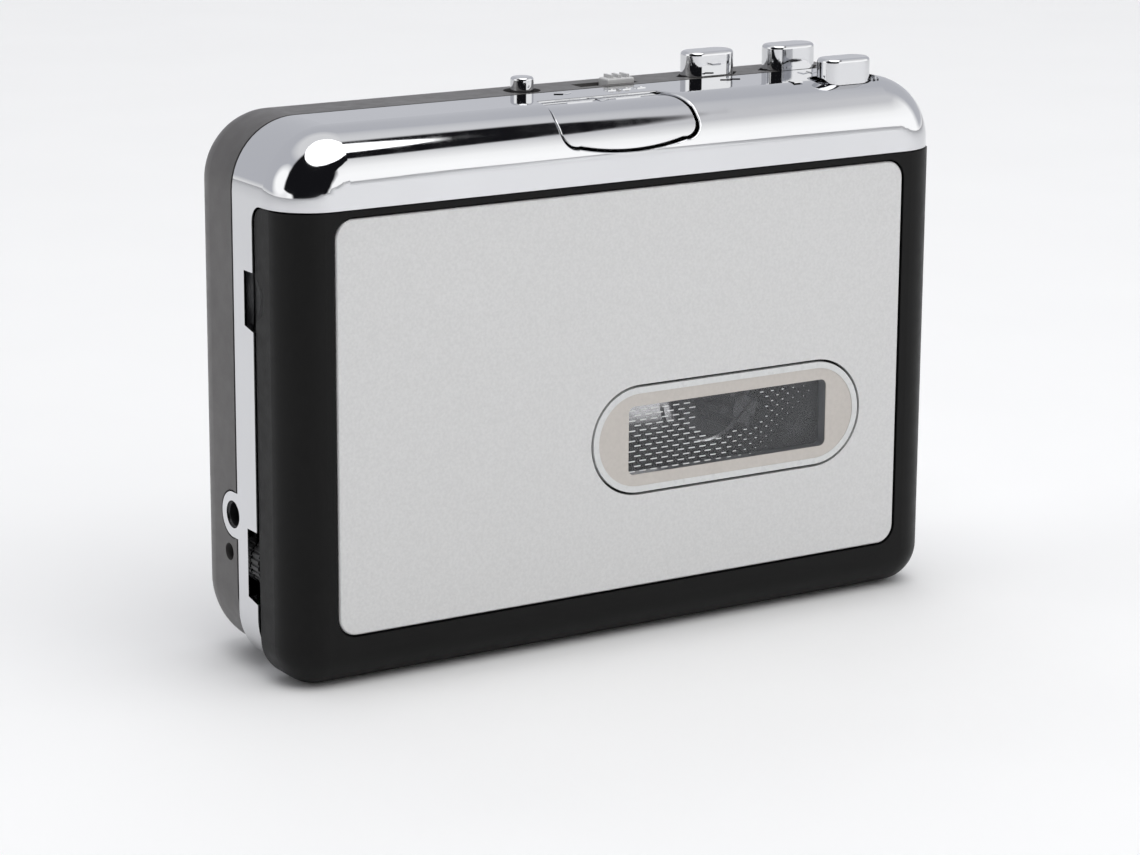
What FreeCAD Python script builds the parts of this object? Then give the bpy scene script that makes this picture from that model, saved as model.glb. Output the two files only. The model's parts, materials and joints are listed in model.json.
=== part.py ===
"""Pocket cassette player standing on its long edge: shells, door, keys and tape mechanism.

Millimetres, +Z up, +X to the right, front of the player towards -Y.  The origin is at the middle
of the base.  Every node of the assembly is made by one function and written to parts/NODE.step.
"""
import FreeCAD, Part
import math
import os

V = FreeCAD.Vector

# ---- case, driving dimensions -------------------------------------------------------------
WIDTH = 114.0                 # left to right
HEIGHT = 80.8                 # base to the flat of the top, without keys
Y_CHROME = -15.3              # front of the chrome cap
Y_DOOR = -14.9                # front of the door
Y_BACK = 15.3                 # back of the rear shell
R_TOP = 10.0                  # case corners, seen from the front
R_BASE = 9.0                  # lower corners of the chrome frame
R_BASE_REAR = 11.8            # lower corners of the rear shell, which fall back from the frame
WALL = 1.5                    # chrome frame and door walls
SHELL_WALL = 1.6              # rear shell wall
CAP_FILLET = 7.5              # big soft edge of the chrome cap
DOOR_FILLET = 5.8             # front edge of the door
BACK_FILLET = 6.5             # rear edge of the rear shell
CAP_LOW = 69.8                # lower edge of the chrome cap on the front
Y_STRIP = -4.5                # front edge of the chrome strip round the sides
Y_CHROME_BACK = 1.45          # back edge of the chrome frame
Y_SHELL_FRONT = 1.9           # front edge of the rear shell, leaving a dark seam
GAP = 0.25                    # reveal between case parts
CUT = 30.0                    # over-length for cutting tools
HALF = WIDTH / 2

# ---- door ---------------------------------------------------------------------------------
DOOR_REAR = Y_STRIP - GAP
DOOR_CORNER = 2.3             # rounded rear top corner of the door's side wall
DOOR_FLOOR = 1.9              # thickness of the door's front wall
RECESS = 0.95                 # pocket for the silver plate
DOOR_HALF = HALF - 0.3        # the door's sides lie just inside the chrome strip
DOOR_BASE_R = 6.2
DOOR_INNER_R = 4.8            # inside corners
HINGE_Y = -8.9                # hinge axis, in the door's bottom wall under the cassette
HINGE_Z = 1.4
HINGE_X = 40.0                # middle of each hinge
HINGE_PIN_R = 0.6
KNUCKLE_R = 1.05
ARM_HALF = 1.5                # half width of the deck's hinge arm
PLATE_HALF = 49.2
PLATE_Z = (7.8, 68.4)
PLATE_R = 2.8
PLATE_GAP = 0.3

# ---- window in the door -------------------------------------------------------------------
WIN_X = 17.6
WIN_Z = 30.4
WIN_HALF = 24.3               # half length of the oval outline
WIN_R = 8.25                  # end radius of the oval outline
OUTLINE = 0.42                # dark line round the oval
WHITE_RING = 0.95
LENS = (-0.3, 35.7, 25.1, 35.6)   # x0, x1, z0, z1 of the clear part
LENS_R = 1.0

# ---- cassette bay and deck ----------------------------------------------------------------
BAY_X = 2.0                   # middle of the compact cassette
CASSETTE_W = 100.4
HUB_Z = 31.5                  # reel hub axis
HUB_DX = 21.25                # half the hub spacing
CASSETTE_Z = HUB_Z - 29.0     # lower edge of the cassette
CAPSTAN_DX = 26.5
CAPSTAN_Z = HUB_Z + 28.0
LOCATORS = [(BAY_X - 13.0, HUB_Z + 25.5), (BAY_X + 17.0, HUB_Z + 25.5)]
LOCATOR_R = 1.3
LOCATOR_TIP = -7.5
DECK_Y = (-0.35, 1.05)
RIM = 0.8                     # wall that stands round the deck, inside the chrome frame
RIM_Y = (-2.3, 3.5)
RIM_OUT = HALF - WALL - 0.2

# ---- mechanism ----------------------------------------------------------------------------
SPINDLE_TIP = -10.9
COLLAR_R = 5.7                # collar of a spindle in front of the deck
CORE_R = 2.1                  # core of a spindle
SKIRT_R = 3.1                 # the spindle's bearing in the deck, and the reel disc's hub
CAPSTAN_R = 1.0
BUSH_R = 2.5
SHAFT_R = 0.75                # motor shaft
AXLE_R = 0.8                  # pins of the idler wheel and of the pinch rollers
PULLEY_Y = (8.4, 10.6)        # motor and clutch pulleys
IDLER_Y = (1.8, 3.4)
TYRE_T = 1.2                  # thickness of the idler's rubber tyre
BRIDGE_Y = (12.0, 12.8)       # the flywheels' rear bridge
HOOK_X = (-46.2, 49.2)        # left edges of the door's two hooks
HOOK_W = 2.4
LEAF_X = (-30.0, 46.5)        # left edges of the cassette springs
LEAF_W = 5.0
REEL_R = 9.5
FLY_R = 12.0
FLY_GROOVE = 11.4
FLY_Y = (8.0, 11.0)
BELT_Y = 9.5
BELT_W = 0.9
BELT_T = 0.6
BELT_LIFT = 0.05              # belt to groove
GROOVE_W = 1.2
CLUTCH_Z = 40.0
CLUTCH_GROOVE = 5.9
CLUTCH_R = 6.6
DRUM_R = 3.0
IDLER_R = 5.5
IDLER_REACH = 8.8
MOTOR_X = 45.0
MOTOR_Z = 40.0
MOTOR_R = 9.0
MOTOR_GROOVE = 2.6
POST_R = 1.0
RUN = 0.08                    # running clearance, radial
PIVOT_DX = 14.0               # pinch arm pivots from the bay's middle
PIVOT_Z = 73.0
ROLLER_R = 5.0
ROLLER_DX = 28.5              # the rollers hang outside the capstans and swing in onto them
ROLLER_Z = 72.2
ROLLER_Y = (-10.8, -3.6)
BRACKET_POSTS = (-39.0, 45.5)  # x of the posts that carry the flywheels' rear bridge

# ---- keys on the top ----------------------------------------------------------------------
KEY_L = 8.8
KEY_W = 4.8
KEYS = {                      # name: x, y, top z, underside of the flange, top of the shelf
    "rewind": (26.0, 4.8, 84.6, 78.0, 73.0),
    "fast_forward": (40.7, 4.1, 84.7, 78.0, 73.0),
    "stop": (42.2, -8.4, 84.0, 75.6, 70.0),
}
SHELF_T = 1.2
FLANGE_T = 1.0
STEM_R = 1.4
SPRING_R = 2.5
SPRING_WIRE = 0.45
DIRECTION = (-7.0, 5.0)
DIRECTION_R = 1.75
DIRECTION_TOP = 82.9
MODE_SLOT = (2.3, 12.6, 3.3, 6.3)
MODE_KNOB = (7.2, 11.9, 3.5, 6.1)
MODE_TOP = 81.6
PLAY_HALF = 12.0
PLAY_BACK_HALF = 10.4
PLAY_BACK_Y = -4.9
PLAY_LOW = 74.0
PLAY_INSET = 0.4              # how far the key lies below the cap's surface
PLAY_GAP = 0.35
PLAY_CLEAR = 0.15             # key to the thinned wall of the cap it slides behind
KEY_ROUND = 0.15              # rounding of the play key's outer edge
OPENING_ROUND = 0.2           # rounding of the cap's edge round it

# ---- left side ----------------------------------------------------------------------------
JACK = (3.0, 23.0)            # y, z of the headphone socket
JACK_R = 1.8
TAB_R = 3.4
DC = (4.3, 17.1)
DC_R = 1.25
WHEEL = (-52.45, 16.8)        # x, z of the volume wheel's axis
WHEEL_R = 4.2
WHEEL_Y = (-4.0, -1.8)
WHEEL_NOTCH = (-1.6, 11.8, 22.0)   # rear y, z0, z1 of the notch in the chrome strip
NAIL_NOTCH = (-1.8, 52.0, 60.0)

# ---- battery bay --------------------------------------------------------------------------
CELL_R = 5.25
CELL_L = 44.5
CELL_Y = 8.0
CELL_Z = 8.3
CELL_X0 = -41.0
HATCH_X = (-43.6, 51.4)
HATCH_Z = 15.4
HATCH_GAP = 0.3
SADDLE_END = 48.4             # right end of the wall in front of the cells, short of the deck's rim
SHELF_WALL = 1.2
TONGUE_Z = (12.0, 15.0)       # tongues of the hatch behind the shell
CONTACT_T = 0.4
SCREWS = [(-49.5, 73.3), (49.5, 73.3), (-48.0, 50.0), (50.5, 22.0)]


# ---- shape helpers ------------------------------------------------------------------------
def box(x, y, z):
    """Box from three (low, high) pairs."""
    return Part.makeBox(x[1] - x[0], y[1] - y[0], z[1] - z[0], V(x[0], y[0], z[0]))


def rod_y(x, z, radius, y):
    """Cylinder along Y between the two values of y."""
    return Part.makeCylinder(radius, y[1] - y[0], V(x, y[0], z), V(0, 1, 0))


def rod_x(y, z, radius, x):
    """Cylinder along X between the two values of x."""
    return Part.makeCylinder(radius, x[1] - x[0], V(x[0], y, z), V(1, 0, 0))


def rod_z(x, y, radius, z):
    """Cylinder along Z between the two values of z."""
    return Part.makeCylinder(radius, z[1] - z[0], V(x, y, z[0]), V(0, 0, 1))


def ring_y(x, z, outer, inner, y):
    """Tube along Y."""
    return rod_y(x, z, outer, y).cut(rod_y(x, z, inner, y))


def place(plane, a, b, depth):
    """Point of a 2-D outline set in the named plane at a depth."""
    if plane == "xz":
        return V(a, depth, b)
    if plane == "xy":
        return V(a, b, depth)
    return V(depth, a, b)


def outline(plane, points, radii, depth):
    """Closed wire through points, with each corner rounded by its own radius."""
    count = len(points)
    corners = []
    for i in range(count):
        here = V(points[i][0], points[i][1], 0)
        before = V(points[i - 1][0], points[i - 1][1], 0) - here
        after = V(points[(i + 1) % count][0], points[(i + 1) % count][1], 0) - here
        before.normalize()
        after.normalize()
        radius = radii[i] if isinstance(radii, (list, tuple)) else radii
        if not radius:
            corners.append((here, here, here))
            continue
        half_angle = before.getAngle(after) / 2
        run = radius / math.tan(half_angle)
        inward = before + after
        inward.normalize()
        centre = here + inward * (radius / math.sin(half_angle))
        corners.append((here + before * run, centre - inward * radius, here + after * run))
    edges = []
    for i in range(count):
        start, middle, end = (place(plane, p.x, p.y, depth) for p in corners[i])
        if (end - start).Length > 1e-6:
            edges.append(Part.Arc(start, middle, end).toShape())
        following = corners[(i + 1) % count][0]
        target = place(plane, following.x, following.y, depth)
        if (target - end).Length > 1e-6:
            edges.append(Part.LineSegment(end, target).toShape())
    return Part.Wire(edges)


def prism(plane, points, radii, span):
    """Solid with the given outline between the two depths of span."""
    face = Part.Face(outline(plane, points, radii, span[0]))
    length = span[1] - span[0]
    push = {"xz": V(0, length, 0), "xy": V(0, 0, length), "yz": V(length, 0, 0)}[plane]
    return face.extrude(push)


def rectangle(x, z):
    """Corner points of a rectangle from two (low, high) pairs."""
    return [(x[0], z[0]), (x[1], z[0]), (x[1], z[1]), (x[0], z[1])]


def oval(x, z, half, radius, y):
    """Stadium-shaped slab centred on x, z."""
    points = rectangle((x - half, x + half), (z - radius, z + radius))
    return prism("xz", points, radius * 0.999, y)


def case_slab(inset, y, fillet=0.0):
    """The case's rounded outline, inset by a distance, between two depths, with a soft front edge."""
    return slab(HALF - inset, (inset, HEIGHT - inset), R_BASE - inset, R_TOP - inset, y, fillet)


def rear_slab(inset, y, fillet=0.0):
    """The rear shell's outline, inset by a distance, between two depths, with a soft back edge."""
    return slab(HALF - inset, (inset, HEIGHT - inset), R_BASE_REAR - inset, R_TOP - inset, y, fillet,
                front=False)


def shell_body():
    """Plain hollow body of the rear shell, before holes and ribs."""
    outer = rear_slab(0, (Y_SHELL_FRONT, Y_BACK), BACK_FILLET)
    inner = rear_slab(SHELL_WALL, (Y_SHELL_FRONT - 1, Y_BACK - SHELL_WALL), BACK_FILLET - SHELL_WALL)
    return outer, outer.cut(inner)


def slab(half, z, r_base, r_top, y, fillet=0.0, front=True):
    """Rounded slab with a soft edge all round its front or its back."""
    points = rectangle((-half, half), z)
    block = prism("xz", points, [r_base, r_base, r_top, r_top], y)
    if not fillet:
        return block
    level = y[0] if front else y[1]
    edges = [e for e in block.Edges if all(abs(v.Y - level) < 1e-6 for v in e.Vertexes)]
    return block.makeFillet(fillet, edges)


def fuse(shapes):
    """One solid from several that overlap or touch."""
    body = shapes[0]
    for other in shapes[1:]:
        body = body.fuse(other)
    return body.removeSplitter()


def cut_all(body, tools):
    """Cut every tool from a body."""
    for tool in tools:
        body = body.cut(tool)
    return body


def soft_rim(body, surface, opening, radius):
    """Body with a rounding on the edges where its outer surface meets the side of an opening."""
    faces = (Part.Shell(surface.Faces), Part.Shell(opening.Faces))
    rim = []
    for edge in body.Edges:
        middle = Part.Vertex(edge.valueAt((edge.FirstParameter + edge.LastParameter) / 2))
        if all(middle.distToShape(face)[0] < 1e-3 for face in faces):
            rim.append(edge)
    return body.makeFillet(radius, rim)


def screw(x, z, y_head, length, radius=1.0, head=1.9):
    """Pan-head screw along -Y with a cross recess; its head starts at y_head."""
    rise = 1.3
    body = rod_y(x, z, radius, (y_head - length, y_head + rise / 2))
    cap = rod_y(x, z, head, (y_head, y_head + rise))
    slots = [box((x - 1.2, x + 1.2), (y_head + 0.6, y_head + rise + 1), (z - 0.22, z + 0.22)),
             box((x - 0.22, x + 0.22), (y_head + 0.6, y_head + rise + 1), (z - 1.2, z + 1.2))]
    return cut_all(fuse([body, cap]), slots)


# ---- case ---------------------------------------------------------------------------------
def door_space(clearance):
    """Everything in front of the strip and under the cap, where the door goes."""
    rear = Y_STRIP - clearance
    top = CAP_LOW - clearance
    points = rectangle((-CUT, rear), (-CUT, top))
    return prism("yz", points, [0, 0, DOOR_CORNER + GAP - clearance, 0], (-HALF - 5, HALF + 5))


def play_opening(grow, y_back):
    """Outline of the play key seen from the front and from above, grown by a distance."""
    half = PLAY_HALF + grow
    low = PLAY_LOW - grow
    shoulder = 77.2
    corner = 9.2 + grow
    a = V(-half, -CUT, HEIGHT + 5)
    b = V(-half, -CUT, shoulder)
    c = V(-corner, -CUT, low + 1.0)
    d = V(corner, -CUT, low + 1.0)
    e = V(half, -CUT, shoulder)
    f = V(half, -CUT, HEIGHT + 5)
    bend = (half - corner) * 0.27
    edges = [Part.LineSegment(a, b).toShape(),
             Part.Arc(b, V(-half + bend, -CUT, low + 1.0 + (shoulder - low - 1) * 0.3), c).toShape(),
             Part.Arc(c, V(0, -CUT, low), d).toShape(),
             Part.Arc(d, V(half - bend, -CUT, low + 1.0 + (shoulder - low - 1) * 0.3), e).toShape(),
             Part.LineSegment(e, f).toShape(),
             Part.LineSegment(f, a).toShape()]
    front = Part.Face(Part.Wire(edges)).extrude(V(0, CUT * 2, 0))
    back = PLAY_BACK_HALF + grow
    plan = [(-half, -CUT), (half, -CUT), (half, -12.0), (back, y_back + grow),
            (-back, y_back + grow), (-half, -12.0)]
    return front.common(prism("xy", plan, 0, (PLAY_LOW - 5, HEIGHT + 5)))


def hinge_arms(grow):
    """The deck's two hinge arms, which reach forward under the cassette."""
    arms = []
    for side in (-1, 1):
        x = (side * HINGE_X - ARM_HALF - grow, side * HINGE_X + ARM_HALF + grow)
        arms.append(rod_x(HINGE_Y, HINGE_Z, KNUCKLE_R + grow, x))
        arms.append(box(x, (HINGE_Y, RIM_Y[0] + 1), (HINGE_Z - KNUCKLE_R - grow,
                                                   HINGE_Z + KNUCKLE_R + grow)))
    return arms


def stop_dish():
    """Shallow dished recess round the stop key, in the top of the cap."""
    x, y = KEYS["stop"][:2]
    points = rectangle((x - 5.95, x + 5.95), (y - 3.2, y + 3.2))
    return prism("xy", points, 3.1, (HEIGHT - 0.6, HEIGHT + 1))


def key_hole(name, grow, z):
    """Oval hole for a key."""
    x, y = KEYS[name][:2]
    points = rectangle((x - KEY_L / 2 - grow, x + KEY_L / 2 + grow),
                       (y - KEY_W / 2 - grow, y + KEY_W / 2 + grow))
    return prism("xy", points, KEY_W / 2 + grow - 0.02, z)


def lens_hole(name, z):
    """Pointed oval hole in the rear shell's top, where a key stands."""
    x, y = KEYS[name][:2]
    length = 5.6
    width = 2.8
    radius = (length * length + width * width) / (2 * width)
    one = rod_z(x, y - width + radius, radius, z)
    other = rod_z(x, y + width - radius, radius, z)
    return one.common(other).fuse(key_hole(name, 0.25, z))


def chrome_frame():
    """Bright frame: cap over the top and front, strip round the sides, tab round the jack."""
    outer = case_slab(0, (Y_CHROME, Y_CHROME_BACK), CAP_FILLET)
    inner = case_slab(WALL, (Y_CHROME + WALL, Y_CHROME_BACK + 1), CAP_FILLET - WALL)
    frame = outer.cut(inner).cut(door_space(0))
    thin = PLAY_INSET - PLAY_CLEAR
    pocket = case_slab(thin, (Y_CHROME + thin, Y_CHROME_BACK), CAP_FILLET - thin)
    pocket = pocket.common(box((-PLAY_HALF - 0.7, PLAY_HALF + 0.7),
                               (Y_CHROME, PLAY_BACK_Y + PLAY_GAP), (CAP_LOW + 0.6, HEIGHT - WALL)))
    tab = rod_x(JACK[0], JACK[1], TAB_R, (-HALF, -HALF + WALL))
    link = box((-HALF, -HALF + WALL), (Y_CHROME_BACK - 0.5, JACK[0]),
               (JACK[1] - TAB_R, JACK[1] + TAB_R))
    frame = fuse([frame, tab, link])
    notches = []
    for rear, low, high in (WHEEL_NOTCH, NAIL_NOTCH):
        points = [(Y_STRIP - 1, low - 0.8), (rear, low), (rear, high), (Y_STRIP - 1, high)]
        notches.append(prism("yz", points, 0, (-HALF - 1, -HALF + 3)))
    tools = notches + hinge_arms(0.15) + [pocket, play_opening(0, PLAY_BACK_Y), stop_dish(),
                       key_hole("stop", 0.3, (HEIGHT - 5, HEIGHT + 1)),
                       rod_x(JACK[0], JACK[1], 2.05, (-HALF - 1, -HALF + 3))]
    return soft_rim(cut_all(frame, tools), outer, play_opening(0, PLAY_BACK_Y), OPENING_ROUND)


def rear_shell():
    """Dark rear shell with screw bosses, battery tray and the holes for keys and sockets."""
    outer, shell = shell_body()
    shelf = box((HATCH_X[0] - 1.6, HATCH_X[1] + 1.6), (3.6, Y_BACK - 1),
                (HATCH_Z, HATCH_Z + SHELF_WALL))
    ends = [box((x, x + SHELF_WALL), (3.6, Y_BACK - 1), (1, HATCH_Z + SHELF_WALL))
            for x in (HATCH_X[0] - 2.5, HATCH_X[1] + 1.3)]
    end_rib = CELL_X0 + 2 * CELL_L + CONTACT_T
    ends.append(box((end_rib, end_rib + 0.8), (3.6, 11.3), (3.2, HATCH_Z + 1)))
    saddle = box((HATCH_X[0] - 1, SADDLE_END), (Y_SHELL_FRONT, 2.6), (3.2, HATCH_Z))
    saddle = saddle.fuse(box((HATCH_X[0] - 1, HATCH_X[1] + 1), (Y_SHELL_FRONT, 4.0),
                             (HATCH_Z, HATCH_Z + SHELF_WALL)))
    bosses = [rod_y(x, z, 2.8, (2.6, Y_BACK - 1)) for x, z in SCREWS]
    inside = fuse([shelf, saddle] + ends + bosses).common(outer)
    shell = fuse([shell, inside])
    tools = [rod_y(x, z, 1.1, (0, CUT)) for x, z in SCREWS]
    tools += [rod_y(x, z, 2.2, (4.0, CUT)) for x, z in SCREWS]
    tools += [lens_hole(name, (HEIGHT - 5, HEIGHT + 1)) for name in ("rewind", "fast_forward")]
    tools.append(rod_z(DIRECTION[0], DIRECTION[1], 2.8, (HEIGHT - 5, HEIGHT + 1)))
    tools.append(box(MODE_SLOT[:2], MODE_SLOT[2:], (HEIGHT - 5, HEIGHT + 1)))
    tools.append(rod_x(JACK[0], JACK[1], TAB_R + GAP, (-HALF - 1, -HALF + 4)))
    tools.append(rod_x(DC[0], DC[1], 1.3, (-HALF - 1, -HALF + 4)))
    tools.append(hatch_space(0))
    return cut_all(shell, tools)


def hatch_space(shrink):
    """Room of the battery hatch in the rear lower edge of the shell."""
    return box((HATCH_X[0] + shrink, HATCH_X[1] - shrink), (Y_BACK - BACK_FILLET + shrink, CUT),
               (-1, HATCH_Z - shrink))


def battery_hatch():
    """Sliding cover of the battery bay, with finger ribs and two tongues under the shell."""
    cover = shell_body()[1].common(hatch_space(HATCH_GAP))
    y_in = Y_BACK - SHELL_WALL
    grips = [box((HATCH_X[0] + 39 + 3 * i, HATCH_X[0] + 40.2 + 3 * i),
                 (Y_BACK - 0.5, Y_BACK + 1), (8.6, 13.6)) for i in range(6)]
    hooks = []
    for side in (0, 1):
        edge = HATCH_X[side]
        inward = 1 if side == 0 else -1
        xs = sorted((edge - inward * 0.9, edge + inward * 2.0))
        stem = sorted((edge + inward * 0.5, edge + inward * 2.0))
        hooks.append(box(xs, (y_in - 2.0, y_in - 1.0), TONGUE_Z))
        hooks.append(box(stem, (y_in - 2.0, y_in + 0.2), TONGUE_Z))
    return cut_all(fuse([cover] + hooks), grips)


def door_frame():
    """Black tray-shaped door with the plate's pocket, hinge lugs, guides and snap hooks."""
    outer = slab(DOOR_HALF, (0, HEIGHT), DOOR_BASE_R, R_TOP, (Y_DOOR, Y_STRIP + 3), DOOR_FILLET)
    inner = slab(DOOR_HALF - WALL, (WALL, HEIGHT + 9), DOOR_INNER_R, DOOR_INNER_R,
                 (Y_DOOR + DOOR_FLOOR, Y_STRIP + 4), DOOR_FILLET - DOOR_FLOOR)
    tray = outer.common(door_space(GAP)).cut(inner)
    left = BAY_X - CASSETTE_W / 2
    right = BAY_X + CASSETTE_W / 2
    floor = Y_DOOR + DOOR_FLOOR
    guides = [box((left - 1.6, left - 0.3), (floor - 0.1, DOOR_REAR - 0.4), (7.0, 60.0)),
              box((right + 0.3, right + 1.6), (floor - 0.1, floor + 2.4), (12.0, 60.0))]
    knuckles = []
    for side in (-1, 1):
        for inner_x in (side * HINGE_X - ARM_HALF - 2.3, side * HINGE_X + ARM_HALF + 0.3):
            knuckles.append(rod_x(HINGE_Y, HINGE_Z, KNUCKLE_R, (inner_x, inner_x + 2.0)))
    hooks = []
    for x in HOOK_X:
        hooks.append(box((x, x + HOOK_W), (floor - 0.1, -2.2), (66.9, 68.1)))
        hooks.append(box((x, x + HOOK_W), (-3.2, -2.2), (66.9, 68.9)))
    tray = fuse([tray] + guides + knuckles + hooks)
    pocket = prism("xz", rectangle((-PLATE_HALF - PLATE_GAP, PLATE_HALF + PLATE_GAP),
                                   (PLATE_Z[0] - PLATE_GAP, PLATE_Z[1] + PLATE_GAP)),
                   PLATE_R + PLATE_GAP, (Y_DOOR - 1, Y_DOOR + RECESS))
    tools = [pocket, prism("xz", rectangle(LENS[:2], LENS[2:]), LENS_R, (Y_DOOR - 1, 0))]
    for side in (-1, 1):
        middle = side * HINGE_X
        tools.append(rod_x(HINGE_Y, HINGE_Z, HINGE_PIN_R + RUN, (middle - 3.6, middle + 3.6)))
        tools.append(box((middle - ARM_HALF - 0.3, middle + ARM_HALF + 0.3),
                         (HINGE_Y - KNUCKLE_R - 0.3, Y_STRIP), (-1, 4)))
    tools.append(box((-HALF, HALF), (DOOR_REAR - 0.15, Y_STRIP), (-1, 3.0)))
    nail = Part.makeSphere(7.0, V(-HALF - 5.9, -4.0, 56.0))
    return cut_all(tray, tools + [nail])


def door_plate():
    """Silver front plate with a thin bevel and the oval cut-out for the window."""
    plate = prism("xz", rectangle((-PLATE_HALF, PLATE_HALF), PLATE_Z), PLATE_R,
                  (Y_DOOR + 0.05, Y_DOOR + RECESS))
    rim = [e for e in plate.Edges if all(abs(v.Y - Y_DOOR - 0.05) < 1e-6 for v in e.Vertexes)]
    plate = plate.makeChamfer(0.2, rim)
    hole = oval(WIN_X, WIN_Z, WIN_HALF + OUTLINE / 2, WIN_R + OUTLINE / 2, (Y_DOOR - 1, 0))
    return plate.cut(hole)


def window_bezel():
    """White oval ring round the window."""
    y = (Y_DOOR + 0.05, Y_DOOR + RECESS)
    half = WIN_HALF - OUTLINE / 2
    radius = WIN_R - OUTLINE / 2
    ring = oval(WIN_X, WIN_Z, half, radius, y)
    return ring.cut(oval(WIN_X, WIN_Z, half - WHITE_RING, radius - WHITE_RING, (y[0] - 1, y[1] + 1)))


def window_mask():
    """Beige oval panel that frames the clear lens."""
    y = (Y_DOOR + 0.12, Y_DOOR + RECESS)
    shrink = OUTLINE / 2 + WHITE_RING
    panel = oval(WIN_X, WIN_Z, WIN_HALF - shrink, WIN_R - shrink, y)
    return panel.cut(prism("xz", rectangle(LENS[:2], LENS[2:]), LENS_R, (y[0] - 1, y[1] + 1)))


def window_lens():
    """Clear plastic lens set in the panel and the door."""
    points = rectangle((LENS[0] + 0.02, LENS[1] - 0.02), (LENS[2] + 0.02, LENS[3] - 0.02))
    return prism("xz", points, LENS_R, (Y_DOOR + 0.25, Y_DOOR + DOOR_FLOOR))


def hinge_pins():
    """Two steel pins fixed in the deck's hinge arms, on which the door swings."""
    return [rod_x(HINGE_Y, HINGE_Z, HINGE_PIN_R, (s * HINGE_X - 3.4, s * HINGE_X + 3.4))
            for s in (-1, 1)]


def cassette_springs():
    """Two bent leaf springs on the door that press the cassette back."""
    floor = Y_DOOR + DOOR_FLOOR
    leaves = []
    for x in LEAF_X:
        a = (floor, 44.0)
        points = [a, (floor, 47.5), (floor + 1.3, 52.5), (floor + 0.2, 58.0),
                  (floor + 0.5, 58.0), (floor + 1.6, 52.5), (floor + 0.3, 47.4), (floor + 0.3, 44.0)]
        leaves.append(prism("yz", points, 0, (x, x + LEAF_W)))
    return leaves


# ---- deck ---------------------------------------------------------------------------------
def bay_side(offset):
    """X of something that lies at an offset from the middle of the cassette."""
    return BAY_X + offset


def deck_cuts(x_shelf, y_shelf):
    """Room for the wheel, sockets, capstan bushes, head neck and key stem."""
    tools = [rod_y(bay_side(s * HUB_DX), HUB_Z, SKIRT_R + RUN, (-5, 5)) for s in (-1, 1)]
    tools += [rod_y(bay_side(s * CAPSTAN_DX), CAPSTAN_Z, BUSH_R, (-5, 5)) for s in (-1, 1)]
    tools.append(box((BAY_X - 5.8, BAY_X + 5.8), (-5, 1.2), (CAPSTAN_Z + 1.8, 75.0)))
    tools.append(rod_z(x_shelf, y_shelf, STEM_R + 0.2, (60, 75)))
    tools.append(rod_y(WHEEL[0], WHEEL[1], 1.1, (-5, 5)))
    tools.append(box((-HALF, -53.9), (-5, DECK_Y[0]), (WHEEL_NOTCH[1] - 0.6, WHEEL_NOTCH[2] + 0.4)))
    tools.append(box((-HALF, -42.6), (-0.6, 4.0), (JACK[1] - 3.4, JACK[1] + 3.4)))
    tools.append(rod_x(DC[0], DC[1], 2.4, (-HALF, -50)))
    return tools


def deck_frame():
    """Black ring that stands round the deck and carries the hinge arms and the nail notch's wall."""
    inset = HALF - RIM_OUT
    rim = case_slab(inset, RIM_Y).cut(case_slab(inset + RIM, (RIM_Y[0] - 1, RIM_Y[1] + 1)))
    rim = rim.cut(box((-HALF, HALF), (RIM_Y[0] - 1, DECK_Y[0]), (CAP_LOW - 1.0, HEIGHT)))
    rim = rim.cut(box((-14.0, 48.5), (DECK_Y[1] + 0.2, RIM_Y[1] + 1), (CAP_LOW, HEIGHT)))
    seam = (Y_CHROME_BACK + Y_SHELL_FRONT) / 2
    in_frame = box((-HALF, HALF), (RIM_Y[0], seam), (0, HEIGHT))
    rim = rim.common(in_frame.fuse(rear_slab(inset, (Y_CHROME_BACK, RIM_Y[1]))))
    wall = box((-RIM_OUT, -RIM_OUT + 1.4), (Y_STRIP + 0.1, DECK_Y[0]), (50.5, 61.5))
    tools = deck_cuts(*KEYS["stop"][:2])
    tools += [rod_x(HINGE_Y, HINGE_Z, HINGE_PIN_R, (s * HINGE_X - 5, s * HINGE_X + 5)) for s in (-1, 1)]
    return cut_all(fuse([rim, wall] + hinge_arms(0)), tools)


def deck_plate():
    """Steel deck with collars, pads, pivot and bracket posts, screw bosses and the stop key's shelf."""
    parts = [case_slab(HALF - RIM_OUT + RIM, DECK_Y)]
    for side in (-1, 1):
        parts.append(ring_y(bay_side(side * HUB_DX), HUB_Z, 8.2, 7.2, (-0.9, 0)))
        parts.append(rod_y(bay_side(side * 41.0), CASSETTE_Z + 20.0, 3.0, (-2.4, 0)))
        parts.append(rod_y(bay_side(side * PIVOT_DX), PIVOT_Z, POST_R, (-4.2, 0)))
        parts.append(rod_y(bay_side(side * PIVOT_DX), PIVOT_Z, 2.0, (-1.9, 0)))
    parts += [rod_y(px, pz, 2.6, (-2.4, 0)) for px, pz in LOCATORS]
    x, y, _, _, shelf = KEYS["stop"]
    parts.append(box((x - 6.0, x + 6.0), (y - 2.6, 0), (shelf - SHELF_T, shelf)))
    parts.append(rod_y(BAY_X, CLUTCH_Z, POST_R, (0, 11.2)))
    parts += [rod_y(px, pz, 2.6, (0, 2.5)) for px, pz in SCREWS]
    parts += [rod_y(px, CAPSTAN_Z, 2.0, (0, 12.0)) for px in BRACKET_POSTS]
    tools = deck_cuts(x, y)
    tools += [rod_y(px, pz, 1.0, (-5, 5)) for px, pz in SCREWS]
    tools += [rod_y(px, CAPSTAN_Z, 0.8, (5, 13)) for px in BRACKET_POSTS]
    tools += [rod_y(px, pz, LOCATOR_R, (-5, 5)) for px, pz in LOCATORS]
    return cut_all(fuse(parts), tools)


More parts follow.
